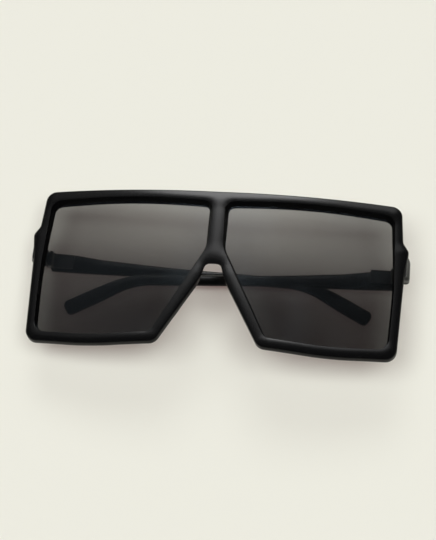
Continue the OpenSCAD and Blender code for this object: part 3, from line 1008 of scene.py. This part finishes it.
# Painted shade and painted light towards the temples, as extra alpha that grows from the bridge outwards
painted_corner_shading = ramped(lens_tree, place.outputs["Y"], cheek_y, brow_y, painted_light_low_corners, painted_shade_top_corners)
sideways = maths(lens_tree, "ABSOLUTE", place.outputs["X"], 0)
corner_shading_mask = ramped(lens_tree, sideways, bridge_w * MM, half_w * MM)
painted_corner_alpha = maths(lens_tree, "MULTIPLY", corner_shading_mask, painted_corner_shading)
lens_tree.links.new(maths(lens_tree, "ADD", tint, painted_corner_alpha), lens_shader.inputs["Alpha"])
lens_shader.inputs["IOR"].default_value = 1.6
lens_shader.inputs["Specular IOR Level"].default_value = 0.8
lens_shader.inputs["Specular Tint"].default_value = (0.7, 0.87, 1, 1)
print("Light through a lens:", [round((1 - a) ** 2, 2) for a in (tint_alpha_brow, tint_alpha_cheek)])

# %% [markdown]
# The leaves of the hinges are blackened steel, rubbed bright along their edges where they slide on
# each other. The screws are plain steel with a brushed slot.

# %% Metals
hinge_metal, _, hinge_shader = finish(
    "blackened_steel", (0.012, 0.012, 0.013), (0.2, 0.195, 0.19),
    roughness=0.42, smear=0.08, hairline=1, wear=0.5, dusty=0.2,
)
screw_metal, _, screw_shader = finish(
    "bright_steel", (0.42, 0.42, 0.43), (0.62, 0.61, 0.6),
    roughness=0.28, smear=0.06, hairline=1, wear=0.6, dusty=0.2,
)
for shader in (hinge_shader, screw_shader):
    shader.inputs["Metallic"].default_value = 1
print("Metals:", hinge_metal.name, screw_metal.name)

# %% [markdown]
# ## Onto the imported model
#
# Every drawn piece now stands for its imported node, rides on the body that carries it and gets its
# finish. The hinge leaves and screws are right as they are and only get their metal.

# %% Pieces, bodies and finishes
pieces = [
    (moulded_front, "front_frame", "front", "frame_plastic", front_plastic),
    (left_tinted_lens, "left_lens", "front", "lens", lens_finish),
    (right_tinted_lens, "right_lens", "front", "lens", lens_finish),
    (left_temple_bar, "left_temple", "left_arm", "temple_plastic", temple_plastic),
    (right_temple_bar, "right_temple", "right_arm", "temple_plastic", temple_plastic),
]
for piece, node, body, slot_name, material in pieces:
    piece.data.materials.clear()
    piece.data.materials.append(material)
    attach(piece, body)
    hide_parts(node)

for side in ("left", "right"):
    for node in (f"{side}_front_hinge_leaf", f"{side}_temple_hinge_leaf"):
        frame["nodes"][node].material_slots[0].material = hinge_metal
    frame["nodes"][f"{side}_hinge_screw"].material_slots[0].material = screw_metal
print("Pieces drawn:", [piece.name for piece, *_ in pieces])

# %% [markdown]
# ## Table
#
# The glasses lie on a cream table that sweeps up into a low round wall far behind them, so every
# view ends in the same cream. A plane with a backdrop would show its end from some sides. The camera
# and the reflections also see a faint rosy glow in the paper. It lights nothing, and it only shows
# where the shadows are deep.

# %% Table with a round wall
table_inner_r = 0.5
table_r = 2.2
sweep_r = 0.5
wall_top = 0.8
SWEEP_STEPS = 16
TABLE_SEGMENTS = 96

sweep = [(0, 0), (table_inner_r, 0), (table_r, 0)]
for angle in np.linspace(0, math.pi / 2, SWEEP_STEPS + 1)[1:]:
    sweep.append((table_r + sweep_r * math.sin(angle), sweep_r * (1 - math.cos(angle))))
sweep.append((table_r + sweep_r, wall_top))
around = np.linspace(0, 2 * math.pi, TABLE_SEGMENTS, endpoint=False)
table_mesh = bmesh.new()
table_rows = [
    np.column_stack((r * np.cos(around), r * np.sin(around), np.full(len(around), z))) for r, z in sweep
]
add_grid(table_mesh, np.array(table_rows), closed=True)
bmesh.ops.remove_doubles(table_mesh, verts=table_mesh.verts, dist=MM)
table_data = bpy.data.meshes.new("cream_table")
table_mesh.to_mesh(table_data)
table_mesh.free()
table_data.shade_smooth()
table = into_scene("cream_table", table_data)
print("Table radius, m:", table_r)

# %% Paper on the table
TABLE_COLOR = (0.69, 0.727, 0.65)
SEEN_GLOW = (0.14, 0.09, 0.085)

table_finish, table_tree, table_shader = new_material("cream_paper")
table_shader.inputs["Base Color"].default_value = (*TABLE_COLOR, 1)
table_shader.inputs["Emission Color"].default_value = (*SEEN_GLOW, 1)
rays = table_tree.nodes.new("ShaderNodeLightPath")
seen = maths(table_tree, "MAXIMUM", rays.outputs["Is Camera Ray"], rays.outputs["Is Glossy Ray"])
seen = maths(table_tree, "MAXIMUM", seen, rays.outputs["Is Transmission Ray"])
table_tree.links.new(seen, table_shader.inputs["Emission Strength"])
table_shader.inputs["Roughness"].default_value = 1
table_shader.inputs["Specular IOR Level"].default_value = 0
table_data.materials.append(table_finish)
print("Paper:", table_finish.name)

# %% [markdown]
# ## Light
#
# Distant round lamps with a wide angle act as large soft boxes: their light is the same all over
# the table, and their shadows are soft. Area lamps would light the near side more than the far
# side. Two boxes stand in front, left and right, and don't show in reflections. A window behind the
# brow, with a weaker one on each side, draws the sheen along it. A little light comes from the room.
# All of it together lights a level table at a strength of 1, so colours render as they are written.

# %% Lamps
# Elevation, azimuth and width in degrees, and the share of the light on a level table
WINDOWS = {
    "window": (48, 10, 28, 0.115),
    "window_left": (42, 42, 30, 0.005),
    "window_right": (45, -18, 30, 0.027),
}
# Azimuth in degrees, and the share of what the room and the windows leave
BOXES = {"left_box": (130, 0.47), "right_box": (230, 0.53)}
BOX_ELEVATION = 70
BOX_WIDE = 30
ROOM_LIGHT = (0.02, 0.02, 0.02)


def soft_lamp(name, elevation, azimuth, wide, color, mirrored):
    """A distant round lamp. Azimuth 0 is behind the brow, and color is its light on a level table."""
    strength = max(color)
    data = bpy.data.lights.new(name, "SUN")
    data.energy = math.pi * strength / math.sin(math.radians(elevation))
    data.color = [c / strength for c in color]
    data.angle = math.radians(wide)
    lamp = into_scene(name, data)
    lamp.rotation_euler = (math.radians(elevation - 90), 0, math.radians(azimuth))
    lamp.visible_glossy = mirrored


windows = sum(share for *_, share in WINDOWS.values())
box_light = [1 - part - windows for part in ROOM_LIGHT]
for name, (elevation, azimuth, wide, share) in WINDOWS.items():
    soft_lamp(name, elevation, azimuth, wide, [share] * 3, mirrored=True)
for name, (azimuth, share) in BOXES.items():
    soft_lamp(name, BOX_ELEVATION, azimuth, BOX_WIDE, [c * share for c in box_light], mirrored=False)
print("Light of both boxes on the table:", [round(c, 2) for c in box_light])

# %% Room light and view
world = bpy.data.worlds.new("room")
world.use_nodes = True
background = next(node for node in world.node_tree.nodes if node.type == "BACKGROUND")
background.inputs["Color"].default_value = (*ROOM_LIGHT, 1)
background.inputs["Strength"].default_value = 1
bpy.context.scene.world = world
bpy.context.scene.view_settings.view_transform = "Standard"
print("Room light:", ROOM_LIGHT)
